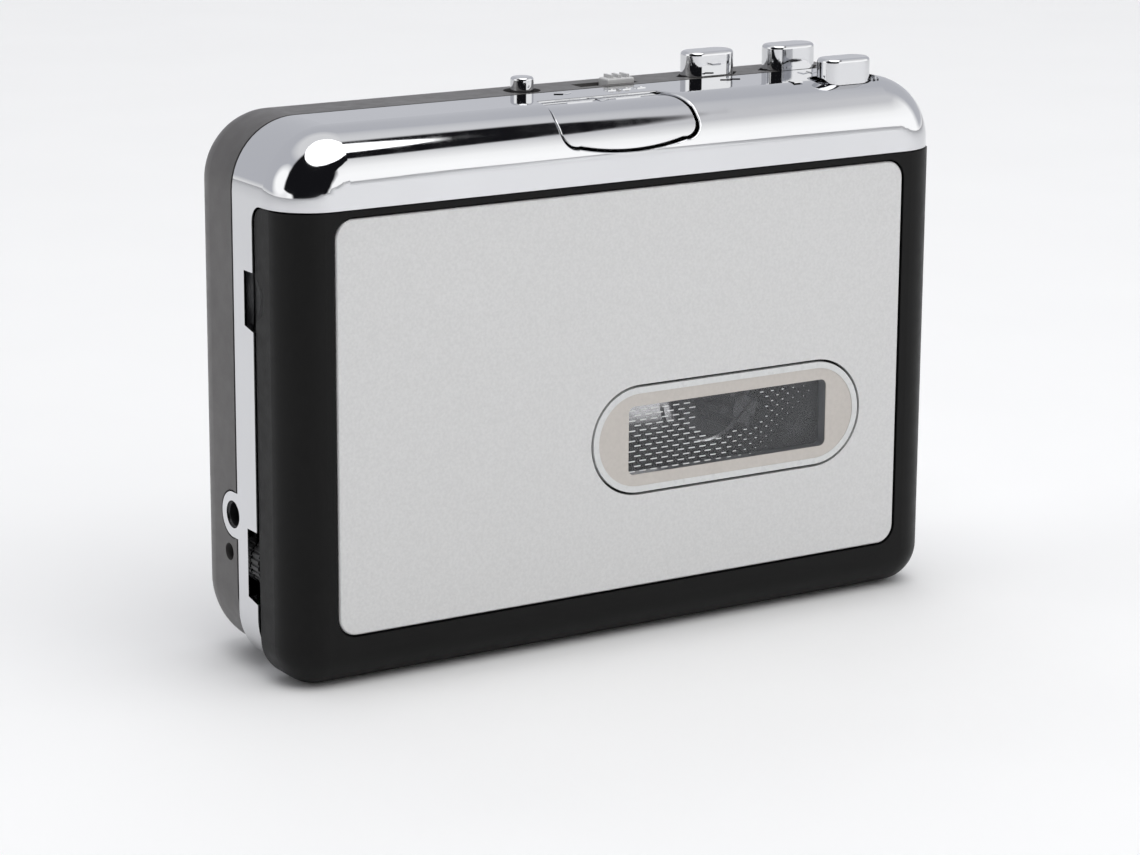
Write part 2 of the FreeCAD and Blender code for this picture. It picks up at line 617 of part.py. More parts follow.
def locating_pins():
    """Two pointed steel pins pressed into the deck, which place the cassette."""
    tip = 1.2
    pins = []
    for x, z in LOCATORS:
        point = Part.makeCone(LOCATOR_R, LOCATOR_R * 0.45, tip, V(x, LOCATOR_TIP + tip, z), V(0, -1, 0))
        pins.append(fuse([point, rod_y(x, z, LOCATOR_R, (LOCATOR_TIP + tip, DECK_Y[1]))]))
    return pins


def capstan_bushes():
    """Brass bearings of the two capstans in the deck."""
    return [ring_y(bay_side(s * CAPSTAN_DX), CAPSTAN_Z, BUSH_R, CAPSTAN_R + RUN, (-1.2, 2.6))
            for s in (-1, 1)]


def flywheel_bracket():
    """Steel bridge behind the flywheels, with the capstans' rear bearings."""
    low, high = BRACKET_POSTS
    bridge = prism("xz", rectangle((low - 3.0, high + 3.0), (CAPSTAN_Z - 3.0, CAPSTAN_Z + 3.0)),
                   2.9, BRIDGE_Y)
    tools = [rod_y(bay_side(s * CAPSTAN_DX), CAPSTAN_Z, CAPSTAN_R + RUN, (11, 14)) for s in (-1, 1)]
    tools += [rod_y(x, CAPSTAN_Z, 0.85, (11, 14)) for x in BRACKET_POSTS]
    return cut_all(bridge, tools)


def bracket_screws():
    """Two small screws that hold the bridge on its posts."""
    return [Part.makeCompound([fuse([rod_y(x, CAPSTAN_Z, 0.8, (7.0, 12.9)),
                                     rod_y(x, CAPSTAN_Z, 1.5, (12.8, 13.4))])])
            for x in BRACKET_POSTS]


# ---- reels, capstans and drive ------------------------------------------------------------
def spindle(side):
    """Reel spindle: collar, tapered core, six fins and a crossed tip; it turns with its reel."""
    x = bay_side(side * HUB_DX)
    core = rod_y(x, HUB_Z, CORE_R, (SPINDLE_TIP, -0.75))
    collar = rod_y(x, HUB_Z, COLLAR_R, (-2.5, -1.3))
    skirt = rod_y(x, HUB_Z, SKIRT_R, (-3.4, 1.5))
    fins = []
    for i in range(6):
        fin = box((x, x + 3.5), (SPINDLE_TIP + 1.3, -2.4), (HUB_Z - 0.4, HUB_Z + 0.4))
        fin.rotate(V(x, 0, HUB_Z), V(0, 1, 0), 60 * i)
        fins.append(fin)
    body = fuse([core, collar, skirt] + fins)
    slots = []
    for angle in (45, 135):
        slot = box((x - 3, x + 3), (SPINDLE_TIP - 1, SPINDLE_TIP + 0.5), (HUB_Z - 0.22, HUB_Z + 0.22))
        slot.rotate(V(x, 0, HUB_Z), V(0, 1, 0), angle)
        slots.append(slot)
    return cut_all(body, slots)


def reel_disc(side):
    """Friction disc behind the deck that the idler drives, with a rubbing rim and spokes."""
    x = bay_side(side * HUB_DX)
    disc = rod_y(x, HUB_Z, REEL_R, (1.6, 3.6))
    hub = rod_y(x, HUB_Z, SKIRT_R, (1.5, 6.0))
    windows = []
    for i in range(3):
        window = rod_y(x + 6.0, HUB_Z, 1.7, (1, 4))
        window.rotate(V(x, 0, HUB_Z), V(0, 1, 0), 120 * i + 30)
        windows.append(window)
    return cut_all(fuse([disc, hub]), windows)


def capstan(side):
    """Steel capstan shaft."""
    x = bay_side(side * CAPSTAN_DX)
    return rod_y(x, CAPSTAN_Z, CAPSTAN_R, (-11.0, 13.0))


def grooved(x, z, rim, groove, y, bore):
    """Wheel with a belt groove round its rim."""
    wheel = rod_y(x, z, rim, y)
    slot = (BELT_Y - GROOVE_W / 2, BELT_Y + GROOVE_W / 2)
    band = ring_y(x, z, rim + 1, groove, slot)
    return wheel.cut(band).cut(rod_y(x, z, bore, (y[0] - 1, y[1] + 1)))


def flywheel(side):
    """Heavy flywheel pressed on the capstan, with a belt groove and a relieved face."""
    x = bay_side(side * CAPSTAN_DX)
    wheel = grooved(x, CAPSTAN_Z, FLY_R, FLY_GROOVE, FLY_Y, CAPSTAN_R)
    relief = ring_y(x, CAPSTAN_Z, 9.0, 3.2, (FLY_Y[1] - 0.7, FLY_Y[1] + 1))
    boss = ring_y(x, CAPSTAN_Z, 2.4, CAPSTAN_R, (FLY_Y[0] - 2.0, FLY_Y[0]))
    return fuse([wheel.cut(relief), boss])


def motor():
    """Flat can motor on the deck, with its bearing boss."""
    can = rod_y(MOTOR_X, MOTOR_Z, MOTOR_R, (1.3, 7.4))
    edge = [e for e in can.Edges if e.BoundBox.YLength < 1e-6]
    can = can.makeFillet(0.8, edge)
    return fuse([can, rod_y(MOTOR_X, MOTOR_Z, 2.6, (7.0, 8.0))]).cut(
        rod_y(MOTOR_X, MOTOR_Z, SHAFT_R + RUN, (4.0, 9.0)))


def motor_pulley():
    """Motor shaft with its small brass pulley."""
    pulley = grooved(MOTOR_X, MOTOR_Z, 3.4, MOTOR_GROOVE, PULLEY_Y, SHAFT_R)
    return fuse([pulley, rod_y(MOTOR_X, MOTOR_Z, SHAFT_R, (4.2, 11.2))])


def clutch_pulley():
    """Belt-driven pulley in the middle, with a long hub and the drum that drives the idler."""
    pulley = grooved(BAY_X, CLUTCH_Z, CLUTCH_R, CLUTCH_GROOVE, PULLEY_Y, POST_R + RUN)
    bore = POST_R + RUN
    hub = ring_y(BAY_X, CLUTCH_Z, 2.2, bore, (3.4, 8.4))
    drum = ring_y(BAY_X, CLUTCH_Z, DRUM_R, bore, (1.7, 3.4))
    return fuse([pulley, hub, drum])


def idler_arm():
    """Swinging arm that carries the idler wheel from reel to reel."""
    low = CLUTCH_Z - IDLER_REACH
    arm = prism("xz", rectangle((BAY_X - 3.4, BAY_X + 3.4), (low - 2.2, CLUTCH_Z + 3.6)), 2.1,
                (4.0, 4.8))
    pin = rod_y(BAY_X, low, AXLE_R, (1.6, 4.2))
    return fuse([arm, pin]).cut(rod_y(BAY_X, CLUTCH_Z, 2.2 + RUN, (3, 6)))


def idler_wheel():
    """Idler wheel core."""
    low = CLUTCH_Z - IDLER_REACH
    return ring_y(BAY_X, low, IDLER_R - TYRE_T, AXLE_R + RUN, IDLER_Y)


def idler_tyre():
    """Rubber tyre of the idler wheel."""
    low = CLUTCH_Z - IDLER_REACH
    return ring_y(BAY_X, low, IDLER_R, IDLER_R - TYRE_T, IDLER_Y)


def tangent(first, second):
    """Ends of the straight belt run from one wheel to the next; a wheel is x, z, radius, turn."""
    ax, az, ar, asign = first
    bx, bz, br, bsign = second
    dx = bx - ax
    dz = bz - az
    distance = math.hypot(dx, dz)
    heading = math.atan2(dz, dx)
    lean = math.asin((asign * ar - bsign * br) / distance)
    normal = heading + lean - math.pi / 2
    start = (ax + asign * ar * math.cos(normal), az + asign * ar * math.sin(normal))
    end = (bx + bsign * br * math.cos(normal), bz + bsign * br * math.sin(normal))
    return start, end


def belt_wire(offset):
    """Closed loop of straight runs and arcs; offset pushes the loop outwards."""
    base = BELT_LIFT + BELT_T / 2
    wheels = [(bay_side(-CAPSTAN_DX), CAPSTAN_Z, FLY_GROOVE + base + offset, 1),
              (BAY_X, CLUTCH_Z, CLUTCH_GROOVE + base + offset, 1),
              (MOTOR_X, MOTOR_Z, MOTOR_GROOVE + base + offset, 1),
              (bay_side(CAPSTAN_DX), CAPSTAN_Z, FLY_GROOVE + base - offset, -1)]
    count = len(wheels)
    runs = [tangent(wheels[i], wheels[(i + 1) % count]) for i in range(count)]
    edges = []
    for i in range(count):
        x, z, radius, turn = wheels[i]
        arrive = runs[i - 1][1]
        leave = runs[i][0]
        start = math.atan2(arrive[1] - z, arrive[0] - x)
        stop = math.atan2(leave[1] - z, leave[0] - x)
        sweep = (stop - start) * turn % (2 * math.pi) * turn
        middle = start + sweep / 2
        edges.append(Part.Arc(V(arrive[0], 0, arrive[1]),
                              V(x + radius * math.cos(middle), 0, z + radius * math.sin(middle)),
                              V(leave[0], 0, leave[1])).toShape())
        edges.append(Part.LineSegment(V(leave[0], 0, leave[1]),
                                      V(runs[i][1][0], 0, runs[i][1][1])).toShape())
    return Part.Wire(edges)


def drive_belt():
    """Rubber belt round both flywheels, the clutch pulley and the motor pulley."""
    outer = Part.Face(belt_wire(BELT_T / 2))
    inner = Part.Face(belt_wire(-BELT_T / 2))
    band = outer.cut(inner)
    solid = band.Faces[0].extrude(V(0, BELT_W, 0))
    solid.translate(V(0, BELT_Y - BELT_W / 2, 0))
    return solid


# ---- heads and pinch rollers --------------------------------------------------------------
def head_base():
    """Sliding steel plate behind the deck that carries the tape head through the slot."""
    plate = box((BAY_X - 17.0, BAY_X + 17.0), (1.5, 2.5), (CAPSTAN_Z - 8.7, 76.2))
    notch = box((BAY_X - 9.0, BAY_X + 9.0), (1, 3), (CAPSTAN_Z - 9, CAPSTAN_Z - 3.7))
    neck = box((BAY_X - 5.2, BAY_X + 5.2), (-1.9, 1.6), (67.8, 74.2))
    return fuse([plate.cut(notch), neck])


def tape_head():
    """Tape head: a metal block whose nose is a part of a cylinder, facing down."""
    x = BAY_X
    y = (-11.5, -1.9)
    block = box((x - 6.1, x + 6.1), y, (68.4, 74.4))
    nose = Part.makeCylinder(9.0, y[1] - y[0], V(x, y[0], 76.1), V(0, 1, 0))
    nose = nose.common(box((x - 4.4, x + 4.4), y, (66.8, 69.0)))
    return fuse([block, nose])


def pinch_arm(side):
    """Arm of a pinch roller on its pivot post, with the roller's axle."""
    pivot = bay_side(side * PIVOT_DX)
    end = bay_side(side * ROLLER_DX)
    xs = sorted((pivot - side * 2.2, end + side * 2.2))
    arm = prism("xz", rectangle(xs, (ROLLER_Z - 1.8, PIVOT_Z + 2.2)), 1.7, (-3.1, -2.1))
    axle = rod_y(end, ROLLER_Z, AXLE_R, (-11.4, -2.6))
    knob = rod_y(end, ROLLER_Z, 1.5, (-11.6, -11.0))
    return fuse([arm, axle, knob]).cut(rod_y(pivot, PIVOT_Z, POST_R + RUN, (-5, 0)))


def pinch_roller(side):
    """Rubber pinch roller."""
    return ring_y(bay_side(side * ROLLER_DX), ROLLER_Z, ROLLER_R, AXLE_R + RUN, ROLLER_Y)


# ---- keys ---------------------------------------------------------------------------------
def key(name):
    """Oval chrome key: soft-edged cap, flange under the case and a guided stem."""
    x, y, top, flange_z, shelf = KEYS[name]
    cap = key_hole(name, 0, (flange_z + FLANGE_T - 0.2, top))
    rim = [e for e in cap.Edges if all(abs(v.Z - top) < 1e-6 for v in e.Vertexes)]
    cap = cap.makeFillet(0.6, rim)
    flange = prism("xy", rectangle((x - 6.0, x + 6.0), (y - 2.75, y + 2.75)), 1.0,
                   (flange_z, flange_z + FLANGE_T))
    stem = rod_z(x, y, STEM_R, (shelf - SHELF_T - 0.3, flange_z + 0.5))
    return fuse([cap, flange, stem])


def key_spring(name):
    """Envelope of a key's return spring, between the shelf and the flange."""
    x, y, _, flange_z, shelf = KEYS[name]
    tube = (shelf, flange_z)
    return rod_z(x, y, SPRING_R, tube).cut(rod_z(x, y, SPRING_R - 2 * SPRING_WIRE, tube))


def key_bracket():
    """Steel shelf behind the deck that guides the rewind and fast-forward keys."""
    shelf = KEYS["rewind"][4]
    span = (20.0, 46.0)
    plate = box(span, (DECK_Y[1], 7.4), (shelf - SHELF_T, shelf))
    foot = box(span, (DECK_Y[1], DECK_Y[1] + 1.0), (shelf - SHELF_T - 1.5, shelf))
    tools = [rod_z(KEYS[n][0], KEYS[n][1], STEM_R + 0.2, (60, 80)) for n in ("rewind", "fast_forward")]
    return cut_all(fuse([plate, foot]), tools)


def play_key():
    """Broad chrome play key that lies in the cap, with ribs inside and a push stem."""
    inset = PLAY_INSET
    skin_out = case_slab(inset, (Y_CHROME + inset, 0), CAP_FILLET - inset)
    skin_in = case_slab(inset + 1.1, (Y_CHROME + inset + 1.1, 1), CAP_FILLET - inset - 1.1)
    shape = play_opening(-PLAY_GAP, PLAY_BACK_Y)
    skin = skin_out.cut(skin_in).common(shape)
    back = skin_out.common(shape).common(
        box((-CUT, CUT), (PLAY_BACK_Y - 1.4, 0), (HEIGHT - 4.3, HEIGHT)))
    wedge = Part.makeCompound([box((-7.0 + 6.5 * i, -6.0 + 6.5 * i), (-12.6, PLAY_BACK_Y - 0.6),
                                   (76.9, HEIGHT - 1.2)) for i in range(3)])
    ribs = [r.common(skin_out) for r in wedge.Solids]
    return soft_rim(fuse([skin, back] + ribs), skin_out, shape, KEY_ROUND)


def direction_button():
    """Small round chrome button with a flange under the case."""
    x, y = DIRECTION
    cap = rod_z(x, y, DIRECTION_R, (78.6, DIRECTION_TOP))
    rim = [e for e in cap.Edges if all(abs(v.Z - DIRECTION_TOP) < 1e-6 for v in e.Vertexes)]
    return fuse([cap.makeFillet(0.45, rim), rod_z(x, y, 3.4, (78.2, 78.95))])


def mode_knob():
    """Ribbed slide-switch knob with its fork."""
    x0, x1, y0, y1 = MODE_KNOB
    body = box((x0, x1), (y0, y1), (79.0, MODE_TOP))
    edges = [e for e in body.Edges if all(abs(v.Z - MODE_TOP) < 1e-6 for v in e.Vertexes)]
    body = body.makeFillet(0.3, edges)
    middle = (x0 + x1) / 2
    ribs = [box((middle - 0.25 + 1.4 * i, middle + 0.25 + 1.4 * i), (y0 + 0.3, y1 - 0.3),
                (MODE_TOP - 0.3, MODE_TOP + 0.5)) for i in (-1, 0, 1)]
    return fuse([body] + ribs)


def switch_board():
    """Small circuit board under the direction button and the mode switch."""
    return box((-12.0, 16.0), (3.0, 8.6), (73.8, 74.8))


def mode_switch_body():
    """Slide switch under the mode knob."""
    return box((1.6, 13.2), (3.1, 6.5), (74.8, 78.7))


def direction_switch():
    """Push switch under the direction button."""
    x, y = DIRECTION
    return fuse([box((x - 3, x + 3), (y - 1.9, y + 3), (74.8, 76.2)), rod_z(x, y, 1.2, (76, 76.5))])


# ---- left side and electronics ------------------------------------------------------------
def volume_wheel():
    """Knurled thumb wheel with its shaft."""
    x, z = WHEEL
    wheel = rod_y(x, z, WHEEL_R, WHEEL_Y)
    teeth = 28
    grooves = []
    for i in range(teeth):
        angle = 2 * math.pi * i / teeth
        grooves.append(rod_y(x + WHEEL_R * math.cos(angle), z + WHEEL_R * math.sin(angle), 0.22,
                             (WHEEL_Y[0] - 1, WHEEL_Y[1] + 1)))
    wheel = wheel.cut(Part.makeCompound(grooves))
    return fuse([wheel, rod_y(x, z, 0.95, (WHEEL_Y[0], 1.6))])


def volume_pot():
    """Flat body of the volume control, on the front of the deck."""
    x, z = WHEEL
    return ring_y(x, z, 2.6, 0.95 + RUN, (-1.5, DECK_Y[0]))


def headphone_jack():
    """Headphone socket: barrel through the chrome tab and a square body with a deep bore."""
    y, z = JACK
    body = box((-54.0, -43.0), (y - 2.6, y + 2.6), (z - 2.9, z + 2.9))
    barrel = rod_x(y, z, 2.0, (-HALF + 0.4, -53.5))
    legs = [box((x, x + 0.8), (y + 2.5, 7.3), (z - 0.4, z + 0.4)) for x in (-52.0, -46.0)]
    return fuse([body, barrel] + legs).cut(rod_x(y, z, JACK_R, (-HALF, -44.6)))


def dc_jack():
    """Power socket with its centre pin."""
    y, z = DC
    body = box((-54.0, -46.6), (1.7, 7.2), (z - 2.6, z + 2.4))
    barrel = rod_x(y, z, 2.1, (-HALF + SHELL_WALL, -53.5))
    socket = fuse([body, barrel]).cut(rod_x(y, z, DC_R, (-HALF, -47.6)))
    return fuse([socket, rod_x(y, z, 0.35, (-54.4, -47.4))])


def main_board():
    """Main circuit board with its mounting hole."""
    board = box((-54.4, -30.0), (7.3, 8.3), (17.4, 46.0))
    return board.cut(rod_y(-33.0, 43.0, 1.3, (7, 9)))


def board_parts():
    """Components on the board: the sound chip and the filter capacitors."""
    chip = box((-47.0, -39.0), (8.3, 9.8), (27.0, 32.0))
    legs = [box((-47.7, -38.3), (8.3, 8.6), (27.6 + 1.27 * i, 28.0 + 1.27 * i)) for i in range(4)]
    caps = [rod_y(x, z, 2.0, (8.3, 12.6)) for x, z in ((-50.0, 38.5), (-44.5, 38.5), (-36.0, 23.0))]
    return [fuse([chip] + legs)] + caps


# ---- battery bay --------------------------------------------------------------------------
def battery_cells():
    """Two round cells end to end, each with its raised positive end."""
    cells = []
    nipple = 1.0
    for i in range(2):
        start = CELL_X0 + i * CELL_L
        cells.append(fuse([rod_x(CELL_Y, CELL_Z, CELL_R, (start, start + CELL_L - nipple)),
                           rod_x(CELL_Y, CELL_Z, 1.9, (start, start + CELL_L))]))
    return cells


def contact_plates():
    """Nickel contact plates at the two ends of the battery bay."""
    ends = (CELL_X0 + 2 * CELL_L, HATCH_X[0] - 0.2 - CONTACT_T)
    return [box((x, x + CONTACT_T), (CELL_Y - 3.2, CELL_Y + 3.2), (CELL_Z - 4.2, CELL_Z + 4.2))
            for x in ends]


def contact_spring():
    """Envelope of the tapered spring that presses the cells together."""
    x0 = HATCH_X[0] - 0.2
    length = CELL_X0 - x0
    outer = Part.makeCone(3.1, 2.3, length, V(x0, CELL_Y, CELL_Z), V(1, 0, 0))
    inner = Part.makeCone(2.3, 1.5, length, V(x0, CELL_Y, CELL_Z), V(1, 0, 0))
    return outer.cut(inner)


def case_screws():
    """Four screws that hold the rear shell to the deck."""
    return [screw(x, z, 4.0, 3.6) for x, z in SCREWS]


# ---- all nodes ----------------------------------------------------------------------------
NODES = {
    "chrome_frame": chrome_frame,
    "rear_shell": rear_shell,
    "battery_hatch": battery_hatch,
    "door_frame": door_frame,
    "door_plate": door_plate,
    "window_bezel": window_bezel,
    "window_mask": window_mask,
    "window_lens": window_lens,
    "hinge_pins": hinge_pins,
    "cassette_springs": cassette_springs,
    "deck_frame": deck_frame,
    "deck_plate": deck_plate,
    "locating_pins": locating_pins,
    "capstan_bushes": capstan_bushes,
    "flywheel_bracket": flywheel_bracket,
    "bracket_screws": bracket_screws,
    "motor": motor,
    "motor_pulley": motor_pulley,
    "clutch_pulley": clutch_pulley,
    "idler_arm": idler_arm,
    "idler_wheel": idler_wheel,
    "idler_tyre": idler_tyre,
    "drive_belt": drive_belt,
    "head_base": head_base,
    "tape_head": tape_head,
    "key_bracket": key_bracket,
    "play_key": play_key,
    "direction_button": direction_button,
    "mode_knob": mode_knob,
    "switch_board": switch_board,
    "mode_switch_body": mode_switch_body,
    "direction_switch": direction_switch,
    "volume_wheel": volume_wheel,
    "volume_pot": volume_pot,
    "headphone_jack": headphone_jack,
    "dc_jack": dc_jack,
    "main_board": main_board,
    "board_parts": board_parts,
    "battery_cells": battery_cells,
    "contact_plates": contact_plates,
    "contact_spring": contact_spring,
    "case_screws": case_screws,
}
for label, sign in (("left", -1), ("right", 1)):
    NODES["spindle_" + label] = lambda s=sign: spindle(s)
    NODES["reel_disc_" + label] = lambda s=sign: reel_disc(s)
    NODES["capstan_" + label] = lambda s=sign: capstan(s)
    NODES["flywheel_" + label] = lambda s=sign: flywheel(s)
    NODES["pinch_arm_" + label] = lambda s=sign: pinch_arm(s)
    NODES["pinch_roller_" + label] = lambda s=sign: pinch_roller(s)
for label in KEYS:
    NODES[label + "_key"] = lambda n=label: key(n)
    NODES[label + "_spring"] = lambda n=label: key_spring(n)

os.makedirs("parts", exist_ok=True)
for node, make in NODES.items():
    made = make()
    solids = []
    for shape in (made if isinstance(made, list) else [made]):
        solids += shape.Solids
    bad = [s for s in solids if not s.isValid() or s.Volume <= 0]
    print(f"{node}: {len(solids)} solid(s), {sum(s.Volume for s in solids):.1f} mm3", "BAD" if bad else "")
    result = solids[0] if len(solids) == 1 else Part.makeCompound(solids)
    result.exportStep(f"parts/{node}.step")
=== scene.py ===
"""Looks of the pocket cassette player: materials, fine pieces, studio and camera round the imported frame."""
import json
import math

import bpy
from mathutils import Matrix, Vector


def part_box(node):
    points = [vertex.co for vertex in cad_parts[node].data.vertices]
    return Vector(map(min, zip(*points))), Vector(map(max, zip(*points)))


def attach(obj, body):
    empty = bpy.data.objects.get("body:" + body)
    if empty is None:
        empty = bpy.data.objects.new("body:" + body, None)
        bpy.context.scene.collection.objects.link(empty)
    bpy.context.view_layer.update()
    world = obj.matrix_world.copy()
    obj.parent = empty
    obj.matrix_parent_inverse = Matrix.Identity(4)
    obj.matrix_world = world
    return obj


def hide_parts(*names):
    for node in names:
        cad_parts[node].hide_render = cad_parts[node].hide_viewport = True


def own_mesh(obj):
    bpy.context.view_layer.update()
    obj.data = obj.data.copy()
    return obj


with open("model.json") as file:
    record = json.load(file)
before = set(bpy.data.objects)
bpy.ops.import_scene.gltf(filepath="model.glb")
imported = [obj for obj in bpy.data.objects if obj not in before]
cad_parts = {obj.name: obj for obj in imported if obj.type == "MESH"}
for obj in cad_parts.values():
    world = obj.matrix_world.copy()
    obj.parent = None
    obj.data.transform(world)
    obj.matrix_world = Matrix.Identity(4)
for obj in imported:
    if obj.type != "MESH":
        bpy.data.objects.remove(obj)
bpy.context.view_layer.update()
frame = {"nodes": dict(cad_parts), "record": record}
NODES = frame["nodes"]
RECORD = frame["record"]
MM = 0.001                      # metres in a millimetre


# ---- materials ----------------------------------------------------------------------------
class Look:
    """A material with one Principled shader, and short helpers for what drives it."""

    def __init__(self, name, colour, roughness, metallic=0.0, specular=0.5):
        self.material = bpy.data.materials.new(name)
        self.material.use_nodes = True
        self.tree = self.material.node_tree
        self.tree.nodes.clear()
        self.output = self.tree.nodes.new("ShaderNodeOutputMaterial")
        self.shader = self.tree.nodes.new("ShaderNodeBsdfPrincipled")
        self.join(self.shader.outputs[0], self.output.inputs[0])
        self.set("Base Color", (*colour, 1.0))
        self.set("Roughness", roughness)
        self.set("Metallic", metallic)
        self.set("Specular IOR Level", specular)
        self.colour = colour
        self.normal = None

    def join(self, source, socket):
        self.tree.links.new(source, socket)

    def set(self, socket, value):
        self.shader.inputs[socket].default_value = value

    def point(self, stretch=(1.0, 1.0, 1.0)):
        """Position on the piece in millimetres, stretched along its axes."""
        place = self.tree.nodes.new("ShaderNodeTexCoord")
        scale = self.tree.nodes.new("ShaderNodeMapping")
        scale.inputs["Scale"].default_value = [s / MM for s in stretch]
        self.join(place.outputs["Object"], scale.inputs["Vector"])
        return scale.outputs[0]

    def noise(self, per_mm, detail=2.0, stretch=(1.0, 1.0, 1.0)):
        """Cloudy noise with so many features to a millimetre."""
        node = self.tree.nodes.new("ShaderNodeTexNoise")
        node.inputs["Scale"].default_value = per_mm
        node.inputs["Detail"].default_value = detail
        self.join(self.point(stretch), node.inputs["Vector"])
        return node.outputs["Fac"]

    def ramp(self, source, stops):
        """Colours or greys at positions along a value."""
        node = self.tree.nodes.new("ShaderNodeValToRGB")
        items = node.color_ramp.elements
        while len(items) < len(stops):
            items.new(0.5)
        for item, (place, value) in zip(items, stops):
            item.position = place
            item.color = (*value, 1.0) if isinstance(value, tuple) else (value, value, value, 1.0)
        self.join(source, node.inputs[0])
        return node.outputs[0]

    def mottle(self, source, spread):
        """Base colour that varies by a share of itself as source goes from low to high."""
        dark = tuple(c * (1 - spread) for c in self.colour)
        light = tuple(min(1.0, c * (1 + spread)) for c in self.colour)
        self.join(self.ramp(source, [(0.3, dark), (0.7, light)]), self.shader.inputs["Base Color"])

    def gloss(self, source, low, high):
        """Roughness between low and high."""
        self.join(self.ramp(source, [(0.3, low), (0.7, high)]), self.shader.inputs["Roughness"])

    def bump(self, source, height):
        """Relief of so many millimetres, added to any relief before it."""
        node = self.tree.nodes.new("ShaderNodeBump")
        node.inputs["Distance"].default_value = height * MM
        self.join(source, node.inputs["Height"])
        if self.normal is not None:
            self.join(self.normal, node.inputs["Normal"])
        self.normal = node.outputs[0]
        self.join(self.normal, self.shader.inputs["Normal"])


def plated(name, colour):
    """Bright plating over moulded plastic, with the slow waves of the moulding."""
    look = Look(name, colour, 0.04, metallic=1.0)
    look.mottle(look.noise(0.05), 0.02)
    look.gloss(look.noise(0.3, 3.0), 0.025, 0.07)
    look.bump(look.noise(0.09, 1.0), 0.012)
    return look.material


def moulded(name, colour, roughness, specular=0.5, grain=2.6, relief=0.012):
    """Moulded plastic with a fine spark-eroded grain."""
    look = Look(name, colour, roughness, specular=specular)
    look.mottle(look.noise(0.08, 3.0), 0.10)
    look.gloss(look.noise(0.5, 3.0), roughness - 0.05, roughness + 0.05)
    look.bump(look.noise(grain, 2.0), relief)
    return look.material


def lacquered(name, colour):
    """Silver lacquer with a fine metallic grain."""
    look = Look(name, colour, 0.42, metallic=0.25)
    look.mottle(look.noise(2.4, 3.0), 0.045)
    look.gloss(look.noise(0.4), 0.38, 0.48)
    look.bump(look.noise(3.5, 2.0), 0.004)
    return look.material


def printed(name, colour, roughness=0.35):
    """Printed film or gloss plastic."""
    look = Look(name, colour, roughness)
    look.mottle(look.noise(1.8, 2.0), 0.03)
    look.gloss(look.noise(0.6), roughness - 0.06, roughness + 0.06)
    look.bump(look.noise(1.2), 0.003)
    return look.material


def drawn_metal(name, colour, roughness, stretch=(0.15, 4.0, 4.0)):
    """Metal with fine lines along its rolled or drawn direction."""
    look = Look(name, colour, roughness, metallic=1.0)
    lines = look.noise(2.2, 3.0, stretch)
    look.mottle(look.noise(0.2, 3.0), 0.06)
    look.gloss(lines, roughness - 0.06, roughness + 0.08)
    look.bump(lines, 0.003)
    return look.material


def soft_rubber(name):
    """Ground rubber, matt with a fine tooth."""
    look = Look(name, (0.018, 0.018, 0.019), 0.75, specular=0.3)
    look.mottle(look.noise(1.5, 4.0), 0.3)
    look.gloss(look.noise(0.8), 0.65, 0.85)
    look.bump(look.noise(5.0, 3.0), 0.02)
    return look.material


def circuit_board(name, colour):
    """Solder mask with copper traces under it and bare pads."""
    look = Look(name, colour, 0.4)
    brick = look.tree.nodes.new("ShaderNodeTexBrick")
    brick.inputs["Scale"].default_value = 0.28
    brick.inputs["Mortar Size"].default_value = 0.05
    brick.inputs["Color1"].default_value = (*colour, 1.0)
    brick.inputs["Color2"].default_value = (*(c * 1.15 for c in colour), 1.0)
    brick.inputs["Mortar"].default_value = (*(min(1.0, c * 2.1) for c in colour), 1.0)
    turn = look.tree.nodes.new("ShaderNodeMapping")
    turn.inputs["Rotation"].default_value = (math.pi / 2, 0.0, 0.0)
    look.join(look.point(), turn.inputs["Vector"])
    look.join(turn.outputs[0], brick.inputs["Vector"])
    look.join(brick.outputs["Color"], look.shader.inputs["Base Color"])
    look.gloss(look.noise(1.0), 0.32, 0.46)
    look.bump(brick.outputs["Fac"], -0.02)
    return look.material


def battery_wrap(name, colour):
    """Foil sleeve of a cell: bare metal ends, a broad band and a copper-coloured shoulder."""
    look = Look(name, colour, 0.3, metallic=0.5)
    low, high = (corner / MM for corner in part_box("battery_cells"))
    start = low.x
    cell_length = (high.x - low.x) / 2      # two cells end to end
    axis = look.tree.nodes.new("ShaderNodeSeparateXYZ")
    look.join(look.point(), axis.inputs[0])
    along = look.tree.nodes.new("ShaderNodeMath")
    along.operation = "SUBTRACT"
    along.inputs[1].default_value = start
    look.join(axis.outputs["X"], along.inputs[0])
    wrap = look.tree.nodes.new("ShaderNodeMath")
    wrap.operation = "MODULO"
    wrap.inputs[1].default_value = cell_length
    look.join(along.outputs[0], wrap.inputs[0])
    share = look.tree.nodes.new("ShaderNodeMath")
    share.operation = "DIVIDE"
    share.inputs[1].default_value = cell_length
    look.join(wrap.outputs[0], share.inputs[0])
    steel = (0.6, 0.6, 0.6)
    band = look.ramp(share.outputs[0], [(0.0, steel), (0.02, colour), (0.68, (0.55, 0.30, 0.12)),
                                        (0.955, steel)])
    look.tree.nodes[band.node.name].color_ramp.interpolation = "CONSTANT"
    look.join(band, look.shader.inputs["Base Color"])
    look.gloss(look.noise(0.5), 0.24, 0.36)
    return look.material


